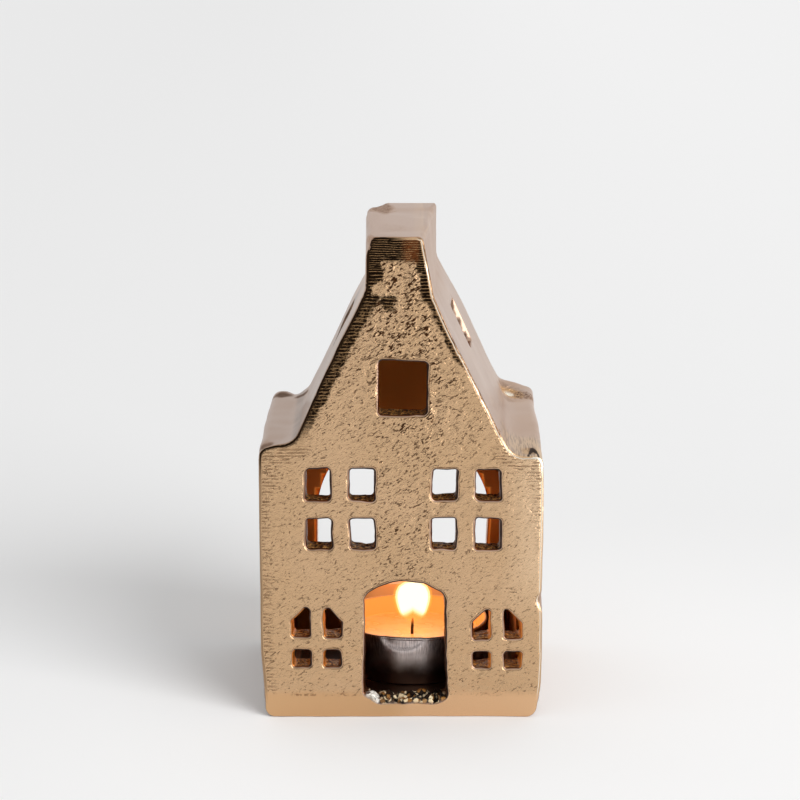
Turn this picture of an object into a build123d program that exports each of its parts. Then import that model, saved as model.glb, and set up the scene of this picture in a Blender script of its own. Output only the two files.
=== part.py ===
# Tealight house: a cast metal canal house with a tealight standing on its floor
# Millimetres. The front faces -Y, +X is to the right and +Z is up.
# The origin lies at the middle of the underside.

from build123d import *
from math import atan2, cos
import os

# Tealight
tealight_diameter = 38.0
tealight_height = 12.5
cup_skin = 0.3
cup_rim_bead = 0.45
cup_base_taper = 0.6
cup_foot_width = 2.4
cup_panel_rise = 0.6
wax_below_rim = 5.0
wax_meniscus = 0.6
wick_radius = 0.5
wick_above_wax = 4.0
wick_lean = 0.6
tab_radius = 6.0
tab_thickness = 0.3
tab_collar_wall = 0.35
tab_collar_height = 3.0
tealight_shift_right = 2.8
tealight_shift_back = 1.2

# Walls of the casting and the room that they leave around the tealight
wall_thickness = 6.0
floor_thickness = 3.9
room_beside_tealight = 9.0
room_before_tealight = 4.0

# Heights of the casting
eaves_height = 68.2
gable_rise = 49.8
cavity_below_top = 18.0

# Rounding of the casting's outline
base_corner_radius = 2.5
eaves_corner_radius = 2.0
shoulder_fillet_radius = 5.0
slope_bend_radius = 20.0
neck_fillet_radius = 5.0
cap_corner_radius = 1.5
rim_rounding = 0.7
opening_rounding = 0.6
cavity_corner_radius = 2.5

# Outline of each gable half, uneven as cast: across in shares of the half width,
# up from the eaves in shares of the gable's rise
# In order: eaves corner, foot of the slope, bend in the slope, foot of the neck, top corner
front_left_shares = ((1.0, 0.0), (0.765, 0.0), (0.45, 0.466), (0.247, 0.745), (0.235, 1.0))
front_right_shares = ((1.0, -0.06), (0.785, -0.058), (0.40, 0.45), (0.224, 0.72), (0.145, 1.0))
back_left_shares = ((1.0, 0.0), (0.73, 0.0), (0.43, 0.436), (0.27, 0.655), (0.265, 1.0))
back_right_shares = ((1.0, 0.03), (0.77, 0.036), (0.49, 0.436), (0.262, 0.737), (0.262, 1.0))

# Doorway, whose sill is the floor
door_width = 19.4
door_side_height = 27.0
door_arch_rise = 3.5
door_foot_radius = 3.0
door_head_radius = 2.5
door_shift = 0.9

# Upper windows: two pairs of panes on each side, a little above the middle between the
# doorway's top and the eaves
upper_pane_width = 5.8
upper_pane_height = 7.5
upper_bar_width = 4.6
upper_pane_radius = 0.8
upper_window_above_middle = 0.9
upper_window_spread = 15.0
upper_window_shift = 0.5

# Ground windows: a peaked window with a cross of bars on each side of the door
ground_window_width = 11.5
ground_sill_height = 12.8
ground_shoulder_height = 24.1
ground_peak_height = 30.2
ground_rail_height = 18.5
ground_bar_width = 3.5
ground_pane_radius = 0.7
ground_window_spread = 21.8
ground_window_shift = 1.3

# Gable window
gable_window_width = 11.1
gable_window_height = 13.0
gable_window_above_eaves = 13.6
gable_window_radius = 1.0
gable_window_shift = 0.25

# Windows in the two roof slopes
roof_window_width = 12.4
roof_window_length = 12.2
roof_window_above_eaves = 23.3
roof_window_shift_back = 4.0
roof_window_radius = 1.5

# Arch in the back wall, through which the tealight goes in
arch_room_beside = 3.3
arch_spring_height = 37.5
arch_sill_over_rim = 1.6
arch_foot_radius = 8.0

# How far every cut runs past the face that it cuts
cut_overrun = 1.0

# Sizes that follow from the ones above
tealight_radius = tealight_diameter / 2
house_width = tealight_diameter + 2 * room_beside_tealight + 2 * wall_thickness
house_depth = tealight_diameter + 2 * room_before_tealight + 2 * wall_thickness
house_height = eaves_height + gable_rise
half_width = house_width / 2
half_depth = house_depth / 2
cavity_half_width = half_width - wall_thickness
cavity_half_depth = half_depth - wall_thickness
cavity_top = house_height - cavity_below_top
wall_cut = wall_thickness + 2 * cut_overrun
arch_radius = tealight_radius + arch_room_beside
arch_sill_height = floor_thickness + tealight_height + arch_sill_over_rim
door_spring = floor_thickness + door_side_height
door_top = door_spring + door_arch_rise
upper_window_middle = (door_top + eaves_height) / 2 + upper_window_above_middle
gable_window_middle = eaves_height + gable_window_above_eaves
roof_window_middle = eaves_height + roof_window_above_eaves

# Working planes: just in front of the front wall and just behind the back wall
before_front = Plane.XZ.offset(half_depth + cut_overrun)
behind_back = Plane.XZ.offset(-half_depth - cut_overrun)


def gable_point(share, side):
    """A point of the outline as (across, up); side is 1 on the right and -1 on the left."""
    across, up = share
    return (side * across * half_width, eaves_height + up * gable_rise)


def outer_outline(left_shares, right_shares):
    """Corners of one end of the casting, anticlockwise from the lower left."""
    right = [gable_point(share, 1) for share in right_shares]
    left = [gable_point(share, -1) for share in reversed(left_shares)]
    return [(-half_width, 0), (half_width, 0)] + right + left


def outer_radii():
    """Roundings for the corners of outer_outline, in the same order."""
    right = [
        eaves_corner_radius,
        shoulder_fillet_radius,
        slope_bend_radius,
        neck_fillet_radius,
        cap_corner_radius,
    ]
    return [base_corner_radius] * 2 + right + right[::-1]


def slope_of(shares):
    """Foot of a roof slope as (across, up), and how much it leans in for each unit up."""
    foot = gable_point(shares[1], 1)
    neck = gable_point(shares[3], 1)
    return foot, (foot[0] - neck[0]) / (neck[1] - foot[1])


def cavity_side(shares, side):
    """Upper corners of one half of the cavity, one wall thickness inside the casting."""
    foot, lean = slope_of(shares)
    wall_across = wall_thickness / cos(atan2(lean, 1))
    ceiling = gable_point(shares[0], 1)[1] - wall_thickness

    def inside(height):
        return foot[0] - wall_across - (height - foot[1]) * lean

    return [
        (side * cavity_half_width, ceiling),
        (side * inside(ceiling), ceiling),
        (side * inside(cavity_top), cavity_top),
    ]


def cavity_outline(left_shares, right_shares):
    """Corners of one end of the cavity, anticlockwise from the lower left."""
    right = cavity_side(right_shares, 1)
    left = cavity_side(left_shares, -1)[::-1]
    floor = [(-cavity_half_width, floor_thickness), (cavity_half_width, floor_thickness)]
    return floor + right + left


# House casting
with BuildPart() as house_casting:
    # Outer body, between the front and back outlines
    with BuildSketch(Plane.XZ.offset(half_depth)):
        with BuildLine():
            FilletPolyline(
                *outer_outline(front_left_shares, front_right_shares),
                radius=outer_radii(),
                close=True,
            )
        make_face()
    with BuildSketch(Plane.XZ.offset(-half_depth)):
        with BuildLine():
            FilletPolyline(
                *outer_outline(back_left_shares, back_right_shares),
                radius=outer_radii(),
                close=True,
            )
        make_face()
    loft(ruled=True)
    outline_edges = house_casting.faces().group_by(Axis.Y)[0].edges()
    outline_edges += house_casting.faces().group_by(Axis.Y)[-1].edges()
    fillet(outline_edges, radius=rim_rounding)

    # Cavity, open to every window
    with BuildSketch(Plane.XZ.offset(cavity_half_depth)):
        with BuildLine():
            FilletPolyline(
                *cavity_outline(front_left_shares, front_right_shares),
                radius=cavity_corner_radius,
                close=True,
            )
        make_face()
    with BuildSketch(Plane.XZ.offset(-cavity_half_depth)):
        with BuildLine():
            FilletPolyline(
                *cavity_outline(back_left_shares, back_right_shares),
                radius=cavity_corner_radius,
                close=True,
            )
        make_face()
    loft(ruled=True, mode=Mode.SUBTRACT)

    # Doorway
    with BuildSketch(before_front):
        with BuildLine():
            left_foot = (door_shift - door_width / 2, floor_thickness)
            right_foot = (door_shift + door_width / 2, floor_thickness)
            left_head = (left_foot[0], door_spring)
            right_head = (right_foot[0], door_spring)
            Polyline(left_head, left_foot, right_foot, right_head)
            ThreePointArc(right_head, (door_shift, door_top), left_head)
        make_face()
        fillet(vertices().group_by(Axis.Y)[0], radius=door_foot_radius)
        fillet(vertices().group_by(Axis.Y)[-1], radius=door_head_radius)
    extrude(amount=-wall_cut, mode=Mode.SUBTRACT)

    # Upper windows
    with BuildSketch(before_front):
        for side in (-1, 1):
            across = upper_window_shift + side * upper_window_spread
            with Locations((across, upper_window_middle)):
                with GridLocations(
                    upper_pane_width + upper_bar_width,
                    upper_pane_height + upper_bar_width,
                    2,
                    2,
                ):
                    RectangleRounded(upper_pane_width, upper_pane_height, upper_pane_radius)
    extrude(amount=-wall_cut, mode=Mode.SUBTRACT)

    # Gable window
    with BuildSketch(before_front):
        with Locations((gable_window_shift, gable_window_middle)):
            RectangleRounded(gable_window_width, gable_window_height, gable_window_radius)
    extrude(amount=-wall_cut, mode=Mode.SUBTRACT)

    # Ground windows, each a peaked outline with a cross of bars left standing in it
    ground_peak = ground_peak_height - ground_sill_height
    with BuildSketch(before_front):
        for side in (-1, 1):
            across = ground_window_shift + side * ground_window_spread
            left = across - ground_window_width / 2
            right = across + ground_window_width / 2
            with BuildLine():
                Polyline(
                    (left, ground_sill_height),
                    (right, ground_sill_height),
                    (right, ground_shoulder_height),
                    (across, ground_peak_height),
                    (left, ground_shoulder_height),
                    close=True,
                )
            make_face()
            with Locations((across, ground_sill_height + ground_peak / 2)):
                Rectangle(ground_bar_width, ground_peak, mode=Mode.SUBTRACT)
            with Locations((across, ground_rail_height)):
                Rectangle(ground_window_width, ground_bar_width, mode=Mode.SUBTRACT)
        fillet(vertices(), radius=ground_pane_radius)
    extrude(amount=-wall_cut, mode=Mode.SUBTRACT)

    # Rounded edges of the front openings
    front_face = house_casting.faces().sort_by(Axis.Y)[0]
    opening_edges = [edge for wire in front_face.inner_wires() for edge in wire.edges()]
    fillet(opening_edges, radius=opening_rounding)

    # Arched opening in the back wall, over a sill that hides the tealight
    with BuildSketch(behind_back):
        with BuildLine():
            left_spring = (-arch_radius, arch_spring_height)
            right_spring = (arch_radius, arch_spring_height)
            Polyline(
                left_spring,
                (-arch_radius, arch_sill_height),
                (arch_radius, arch_sill_height),
                right_spring,
            )
            ThreePointArc(right_spring, (0, arch_spring_height + arch_radius), left_spring)
        make_face()
        fillet(vertices().group_by(Axis.Y)[0], radius=arch_foot_radius)
    extrude(amount=wall_cut, mode=Mode.SUBTRACT)

    # Windows in the roof slopes, square to each slope
    for side, front_shares, back_shares in (
        (-1, front_left_shares, back_left_shares),
        (1, front_right_shares, back_right_shares),
    ):
        front_foot, front_lean = slope_of(front_shares)
        back_foot, back_lean = slope_of(back_shares)
        lean = (front_lean + back_lean) / 2
        front_across = front_foot[0] - (roof_window_middle - front_foot[1]) * front_lean
        back_across = back_foot[0] - (roof_window_middle - back_foot[1]) * back_lean
        slope_middle = Vector(
            side * (front_across + back_across) / 2, roof_window_shift_back, roof_window_middle
        )
        slope_plane = Plane(
            origin=slope_middle, x_dir=Vector(0, 1, 0), z_dir=Vector(side, 0, lean)
        )
        with BuildSketch(slope_plane):
            RectangleRounded(roof_window_width, roof_window_length, roof_window_radius)
        extrude(amount=2 * wall_thickness, both=True, mode=Mode.SUBTRACT)

house_casting.part.label = "house_casting"

# Heights and radii inside the tealight
cup_bottom = floor_thickness
cup_inside_bottom = cup_bottom + cup_skin
cup_top = cup_bottom + tealight_height
cup_wall_top = cup_top - cup_rim_bead
cup_mouth_radius = tealight_radius - cup_rim_bead - cup_skin
cup_base_radius = cup_mouth_radius - cup_base_taper
panel_radius = cup_base_radius - cup_foot_width
panel_top = cup_inside_bottom + cup_panel_rise
wax_top = cup_top - wax_below_rim
tab_top = panel_top + tab_thickness
collar_top = tab_top + tab_collar_height
collar_radius = wick_radius + tab_collar_wall

# The tealight's upright half section, its axis and the plane of the tab
section_plane = Plane(
    origin=(tealight_shift_right, tealight_shift_back, 0), x_dir=(1, 0, 0), z_dir=(0, -1, 0)
)
tealight_axis = Axis((tealight_shift_right, tealight_shift_back, 0), (0, 0, 1))
tab_plane = Plane(origin=(tealight_shift_right, tealight_shift_back, panel_top))
wick_plane = Plane(origin=(tealight_shift_right, tealight_shift_back, tab_top))


def cup_radius(height):
    """Inside radius of the tapered cup at a height."""
    share = (height - cup_inside_bottom) / (cup_wall_top - cup_inside_bottom)
    return cup_base_radius + share * cup_base_taper


# Aluminium cup: a thin tapered skin with a raised panel in its base and a rolled rim
with BuildPart() as tealight_cup:
    with BuildSketch(section_plane):
        with BuildLine():
            Polyline(
                (0, panel_top),
                (panel_radius, panel_top),
                (panel_radius, cup_inside_bottom),
                (cup_base_radius, cup_inside_bottom),
                (cup_mouth_radius, cup_wall_top),
                (cup_mouth_radius + cup_skin, cup_wall_top),
                (cup_base_radius + cup_skin, cup_bottom),
                (panel_radius - cup_skin, cup_bottom),
                (panel_radius - cup_skin, panel_top - cup_skin),
                (0, panel_top - cup_skin),
                close=True,
            )
        make_face()
        with Locations((cup_mouth_radius + cup_skin, cup_wall_top)):
            Circle(cup_rim_bead)
    revolve(axis=tealight_axis)
tealight_cup.part.label = "tealight_cup"

# Wax, fitted to the cup, the tab and the wick, and drawn up a little where it meets the cup
with BuildPart() as wax:
    with BuildSketch(section_plane):
        with BuildLine():
            meniscus_top = (cup_radius(wax_top + wax_meniscus), wax_top + wax_meniscus)
            meniscus_foot = (meniscus_top[0] - 2 * wax_meniscus, wax_top)
            Polyline(
                meniscus_foot,
                (wick_radius, wax_top),
                (wick_radius, collar_top),
                (collar_radius, collar_top),
                (collar_radius, tab_top),
                (tab_radius, tab_top),
                (tab_radius, panel_top),
                (panel_radius, panel_top),
                (panel_radius, cup_inside_bottom),
                (cup_base_radius, cup_inside_bottom),
                meniscus_top,
            )
            TangentArc(meniscus_foot, meniscus_top, tangent=(1, 0))
        make_face()
    revolve(axis=tealight_axis)
wax.part.label = "wax"

# Wick tab: a thin disc on the cup's base with a collar that grips the wick
with BuildPart() as wick_tab:
    with BuildSketch(tab_plane):
        Circle(tab_radius)
    extrude(amount=tab_thickness)
    with BuildSketch(wick_plane):
        Circle(collar_radius)
        Circle(wick_radius, mode=Mode.SUBTRACT)
    extrude(amount=tab_collar_height)
wick_tab.part.label = "wick_tab"

# Wick, straight through the wax and leaning a little above it
with BuildPart() as wick:
    with BuildLine(section_plane):
        straight = Line((0, tab_top), (0, wax_top))
        TangentArc(straight @ 1, (wick_lean, wax_top + wick_above_wax), tangent=straight % 1)
    with BuildSketch(wick_plane):
        Circle(wick_radius)
    sweep()
wick.part.label = "wick"

# Each piece is one file
os.makedirs("parts", exist_ok=True)
for piece in (house_casting, tealight_cup, wax, wick_tab, wick):
    export_step(piece.part, f"parts/{piece.part.label}.step")
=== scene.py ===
# Tealight house: the looks of a cast metal canal house with a lit tealight in it
# Metres. The front faces -Y, +X is to the right and +Z is up.

import math

import bmesh
import bpy
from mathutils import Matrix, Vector, kdtree, noise
from mathutils.bvhtree import BVHTree


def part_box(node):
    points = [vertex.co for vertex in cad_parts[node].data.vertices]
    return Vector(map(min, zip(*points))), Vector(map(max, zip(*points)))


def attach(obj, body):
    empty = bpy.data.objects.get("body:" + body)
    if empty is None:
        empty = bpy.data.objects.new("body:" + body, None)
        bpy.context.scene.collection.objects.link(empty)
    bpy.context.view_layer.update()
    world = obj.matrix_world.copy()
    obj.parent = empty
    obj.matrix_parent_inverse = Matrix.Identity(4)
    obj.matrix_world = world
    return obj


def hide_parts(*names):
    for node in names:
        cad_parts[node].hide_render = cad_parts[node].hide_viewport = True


bl_info = {
    "name": "Tealight House",
    "version": (1, 0, 0),
    "blender": (4, 5, 0),
    "location": "View3D > Sidebar > Tealight House",
    "description": "Adds a cast metal canal house with a lit tealight, piece by piece",
    "category": "Add Mesh",
}

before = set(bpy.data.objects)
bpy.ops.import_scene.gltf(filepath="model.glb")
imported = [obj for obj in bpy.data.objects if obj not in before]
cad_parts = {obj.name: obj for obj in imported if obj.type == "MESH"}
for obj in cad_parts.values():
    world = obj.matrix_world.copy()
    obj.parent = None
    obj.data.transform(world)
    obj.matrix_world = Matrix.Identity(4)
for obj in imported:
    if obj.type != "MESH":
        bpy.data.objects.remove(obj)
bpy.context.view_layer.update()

MM = 0.001
HOUSE_LOW, HOUSE_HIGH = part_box("house_casting")
CUP_LOW, CUP_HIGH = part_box("tealight_cup")
WAX_LOW, WAX_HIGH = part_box("wax")
WICK_LOW, WICK_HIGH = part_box("wick")
CUP_MIDDLE = (CUP_LOW + CUP_HIGH) / 2
CUP_RADIUS = (CUP_HIGH.x - CUP_LOW.x) / 2
X, Y, Z = range(3)


class Value:
    """A shader socket that takes part in Python expressions."""

    def __init__(self, nodes, socket):
        self.nodes = nodes
        self.socket = socket

    def __add__(self, other):
        return self.nodes.math("ADD", self, other)

    def __sub__(self, other):
        return self.nodes.math("SUBTRACT", self, other)

    def __rsub__(self, other):
        return self.nodes.math("SUBTRACT", other, self)

    def __mul__(self, other):
        return self.nodes.math("MULTIPLY", self, other)

    __radd__ = __add__
    __rmul__ = __mul__

    def __abs__(self):
        return self.nodes.math("ABSOLUTE", self)

    def larger(self, other):
        return self.nodes.math("MAXIMUM", self, other)

    def step(self, low, high):
        """Rises softly from 0 at low to 1 at high, or falls where low is the larger."""
        return self.nodes.node(
            "ShaderNodeMapRange",
            {"interpolation_type": "SMOOTHSTEP"},
            {"Value": self, "From Min": low, "From Max": high},
        )


class Nodes:
    """The nodes of a material or of the studio."""

    def __init__(self, owner):
        owner.use_nodes = True
        self.tree = owner.node_tree

    def feed(self, socket, value):
        if isinstance(value, Value):
            self.tree.links.new(value.socket, socket)
        else:
            socket.default_value = value

    def node(self, kind, settings=None, inputs=None, output=0):
        """Adds a node; its settings are set first, then its sockets are given values or links."""
        made = self.tree.nodes.new(kind)
        for name, value in (settings or {}).items():
            setattr(made, name, value)
        for name, value in (inputs or {}).items():
            self.feed(made.inputs[name], value)
        return Value(self, made.outputs[output])

    def math(self, operation, first, second=0.0):
        return self.node("ShaderNodeMath", {"operation": operation}, {0: first, 1: second})

    def parts(self, vector):
        return [self.node("ShaderNodeSeparateXYZ", {}, {0: vector}, axis) for axis in "XYZ"]

    def vector(self, x, y, z):
        return self.node("ShaderNodeCombineXYZ", {}, {0: x, 1: y, 2: z})

    def noise(self, vector, scale, detail=2.0, roughness=0.5, distortion=0.0):
        return self.node(
            "ShaderNodeTexNoise",
            {},
            {
                "Vector": vector,
                "Scale": scale,
                "Detail": detail,
                "Roughness": roughness,
                "Distortion": distortion,
            },
        )

    def mix(self, share, low, high):
        """A colour between low and high."""
        return self.node(
            "ShaderNodeMix", {"data_type": "RGBA"}, {0: share, 6: low, 7: high}, 2
        )


class Finish(Nodes):
    """A material with one Principled shader, and the nodes that feed it."""

    def __init__(self, name):
        self.material = bpy.data.materials.new(name)
        super().__init__(self.material)
        self.shader = self.tree.nodes["Principled BSDF"]

    def place(self):
        """The point on the piece, in millimetres."""
        metres = self.node("ShaderNodeTexCoord", output="Object")
        return self.node(
            "ShaderNodeVectorMath", {"operation": "SCALE"}, {0: metres, "Scale": 1 / MM}
        )

    def near(self, place, middle):
        """Distance from a place to a fixed point."""
        return self.node(
            "ShaderNodeVectorMath", {"operation": "DISTANCE"}, {0: place, 1: middle}, "Value"
        )

    def attribute(self, name):
        return self.node("ShaderNodeAttribute", {"attribute_name": name}, {}, "Fac")

    def leaning(self, place, degrees, stretch):
        """A place for a pattern that is drawn out up to the right."""
        return self.node(
            "ShaderNodeMapping",
            {"vector_type": "TEXTURE"},
            {
                "Vector": place,
                "Rotation": (0, math.radians(-degrees), 0),
                "Scale": (stretch, 1.0, 1.0),
            },
        )

    def stones(self, place, scale):
        """For the small stones that a place is packed with: a share each, and the way to it."""
        distance = self.node("ShaderNodeTexVoronoi", {}, {"Vector": place, "Scale": scale})
        colour = Value(self, distance.socket.node.outputs["Color"])
        return self.parts(colour)[0], distance

    def bump(self, height, strength=1.0):
        """Turns a height in millimetres into a bumpy surface."""
        return self.node(
            "ShaderNodeBump", {}, {"Height": height, "Distance": MM, "Strength": strength}
        )

    def set(self, values):
        for name, value in values.items():
            self.feed(self.shader.inputs[name], value)
        return self.material


def rgb(red, green, blue):
    """A colour given in the 0 to 255 values that a screen shows, as linear light."""
    def linear(value):
        share = value / 255
        return share / 12.92 if share <= 0.04045 else ((share + 0.055) / 1.055) ** 2.4
    return (linear(red), linear(green), linear(blue), 1.0)


def colour_property(name, description, *values):
    return bpy.props.FloatVectorProperty(
        name=name, description=description, default=rgb(*values), size=4, subtype="COLOR",
        min=0.0, max=1.0,
    )


def length_property(name, description, millimetres):
    return bpy.props.FloatProperty(
        name=name, description=description, default=millimetres * MM, unit="LENGTH",
        precision=5,
    )


def fall_off(distance, reach):
    """1 at no distance and 0 at the reach, with a soft slope between."""
    share = max(0.0, 1.0 - distance / reach)
    return share * share * (3.0 - 2.0 * share)


def rise(value, low, high):
    """Rises softly from 0 at low to 1 at high, or falls where low is the larger."""
    share = min(1.0, max(0.0, (value - low) / (high - low)))
    return share * share * (3.0 - 2.0 * share)


def add_piece(name, bm, material, body, replaced=(), crease=40.0):
    """Makes a smooth object from a bmesh and ties it to the frame."""
    mesh = bpy.data.meshes.new(name)
    bm.to_mesh(mesh)
    bm.free()
    mesh.materials.append(material)
    mesh.shade_smooth()
    mesh.set_sharp_from_angle(angle=math.radians(crease))
    piece = bpy.data.objects.new(name, mesh)
    bpy.context.scene.collection.objects.link(piece)
    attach(piece, body)
    if replaced:
        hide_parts(*replaced)
    return piece


class CastingSettings(bpy.types.PropertyGroup):
    """Sizes and colours of the house casting."""

    front_cell: length_property(
        "Front cell", "Width of the cells that the front skin is cut into", 0.55
    )
    back_cell: length_property(
        "Back cell", "Width of the cells that the back skin is cut into", 0.95
    )
    wall_cell: length_property(
        "Wall cell", "Width of the cells that the other walls are cut into", 1.8
    )
    sill_cell: length_property(
        "Sill cell", "Width of the cells that the window and door sills are cut into", 0.42
    )
    unevenness: length_property(
        "Unevenness", "How far the hand-worked faces stray from their drawn place", 0.5
    )
    grain: length_property("Grain", "Height of the sandy grain on the front and back", 0.22)
    crumbs: length_property("Crumbs", "Height of the crumbs on the doorway's sill", 1.7)
    gold: colour_property("Gold", "Plating on the textured front and back", 210, 174, 136)
    satin: colour_property("Satin", "Plating on the smooth sides, roof and cap", 190, 161, 140)
    pit: colour_property("Pit", "Bottoms of the small pits", 70, 43, 24)
    black: colour_property("Black", "Darkened margins of the gable", 26, 16, 9)
    inner: colour_property("Inner", "Plating inside the house", 176, 110, 50)
    reveal: colour_property("Reveal", "Plating on the thickness of the front wall", 104, 58, 28)


# The lengths of the casting that follow are in millimetres

# Local dents and swellings: middle, reach and push
PUSHES = (
    ((-8.5, 27.0, 118.0), 7.0, (1.4, -0.9, -1.2)),
    ((3.0, 29.0, 118.0), 14.0, (0.0, 0.4, 0.9)),
    ((-8.5, -29.0, 117.0), 4.0, (0.8, 0.3, -0.3)),
    ((34.0, -29.0, 29.5), 2.4, (-0.9, 0.5, 0.0)),
    ((30.8, -25.0, 66.0), 2.6, (-0.3, 0.0, -1.3)),
    ((28.0, 28.0, 70.0), 5.0, (0.0, 0.0, 1.1)),
    ((27.0, 22.0, 69.6), 3.6, (0.0, 0.0, -0.7)),
    ((-31.0, 28.5, 68.2), 3.5, (0.0, 0.0, 0.5)),
    ((-27.5, 28.5, 68.2), 2.5, (0.0, 0.0, -0.5)),
    ((0.9, -26.0, 6.0), 12.0, (0.7, 0.0, 0.0)),
    ((-7.4, -27.5, 4.2), 3.0, (0.0, 0.0, 1.5)),
    ((34.0, -29.0, 0.0), 10.0, (-1.2, 0.0, 0.0)),
    ((-34.0, -29.0, 3.0), 14.0, (0.9, 0.0, 0.0)),
    ((-33.0, -28.0, 68.2), 4.0, (0.5, 0.2, -0.6)),
)

# Start of the vector noise, so that each run gives the same casting
NOISE_SEED = 4

# The flat front and back reach this far in from the ends of the house
FLAT_MARGIN = 0.02

# The inner faces of the front and back walls lie nearer to the middle than this
WALL_INSIDE = 23.4

# Rows of points: behind the doorway's sill, and close to both ends to keep their shading
SILL_ROW = -WALL_INSIDE + 0.9
END_ROW = 27.7

# From here to the ends, the grainy plating covers the casting
END_SKIN = 28.3

# A roof slope faces this share across and this share up
ROOF_ACROSS = 0.91
ROOF_UP = 0.41

# The roof windows lie farther out and higher than this, and within this from front to back
ROOF_WINDOW_OUT = 7
ROOF_WINDOW_FOOT = 76
ROOF_WINDOW_HALF = 14

# A point that sees a wall nearer than this lies indoors or in an opening
ROOM_REACH = 80

# The line of sight starts this far off, clear of the point's own wall
VIEW_START = 0.05

# Distance from one comb mark to the next, on the walls and gable, and on the neck
COMB_PERIOD = 0.8
FINE_PERIOD = 0.54

# Dark spots of the shoulders, partly painted shade in their dents: middle, reach and strength
DARK_SPOTS = (
    ((-31.0, 25.0, 68.6), 3.4, 0.9),
    ((-25.2, 22.0, 68.6), 2.8, 0.8),
    ((-32.6, -27.0, 67.8), 2.4, 0.7),
    ((25.2, 25.0, 70.8), 2.4, 0.5),
    ((26.3, 15.0, 69.5), 2.4, 0.3),
    ((23.9, -27.5, 71.8), 1.3, 0.8),
)

# The doorway's sill: its middle from side to side, half its width and its top
SILL_MIDDLE = 1.2
SILL_HALF = 10.3
SILL_TOP = 6.2

# A facet at the left end of the doorway's sill, painted white as a highlight
SILL_FACET = Vector((-7.2, -28.4, 4.6))


def cut_into_cells(bm, faces, spacings):
    """Cuts faces by planes across each axis, so that their points can move singly."""
    edges = dict.fromkeys(edge for face in faces for edge in face.edges)
    verts = dict.fromkeys(vert for face in faces for vert in face.verts)
    geometry = [*faces, *edges, *verts]
    for axis, spacing in spacings:
        normal = Vector((0, 0, 0))
        normal[axis] = 1
        low, high = HOUSE_LOW[axis], HOUSE_HIGH[axis]
        count = round((high - low) / spacing)
        for number in range(1, count):
            geometry = bmesh.ops.bisect_plane(
                bm,
                geom=geometry,
                dist=1e-7,
                plane_co=normal * (low + (high - low) * number / count),
                plane_no=normal,
            )["geom"]


class EndEdges:
    """Tells how far a point lies from the edges round a flat end, seen from the front."""

    def __init__(self, verts, arris):
        self.tree = kdtree.KDTree(len(verts))
        self.edges = []
        for number, vert in enumerate(verts):
            self.tree.insert((vert.co.x, 0, vert.co.z), number)
            self.edges.append([
                (vert.co.xz, edge.other_vert(vert).co.xz)
                for edge in vert.link_edges if edge in arris
            ])
        self.tree.balance()

    def distance(self, co):
        place = co.xz
        number, nearest = self.tree.find((co.x, 0, co.z))[1:]
        for start, end in self.edges[number]:
            along = end - start
            share = min(1.0, max(0.0, (place - start).dot(along) / along.length_squared))
            nearest = min(nearest, (start + along * share - place).length)
        return nearest / MM


def end_edges(bm, side):
    """Splits the edges round a flat end into those of its outline and of its openings."""
    level = HOUSE_HIGH.y - FLAT_MARGIN * MM
    flat = {face for face in bm.faces if min(side * vert.co.y for vert in face.verts) > level}
    arris = {edge for edge in bm.edges if sum(face in flat for face in edge.link_faces) == 1}
    verts = dict.fromkeys(vert for edge in bm.edges if edge in arris for vert in edge.verts)
    start = min(verts, key=lambda vert: vert.co.x)
    outline = {start: None}
    ends = [start]
    while ends:
        vert = ends.pop()
        for edge in vert.link_edges:
            other = edge.other_vert(vert)
            if edge in arris and other not in outline:
                outline[other] = None
                ends.append(other)
    openings = [vert for vert in verts if vert not in outline]
    return EndEdges(list(outline), arris), EndEdges(openings, arris)


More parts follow.
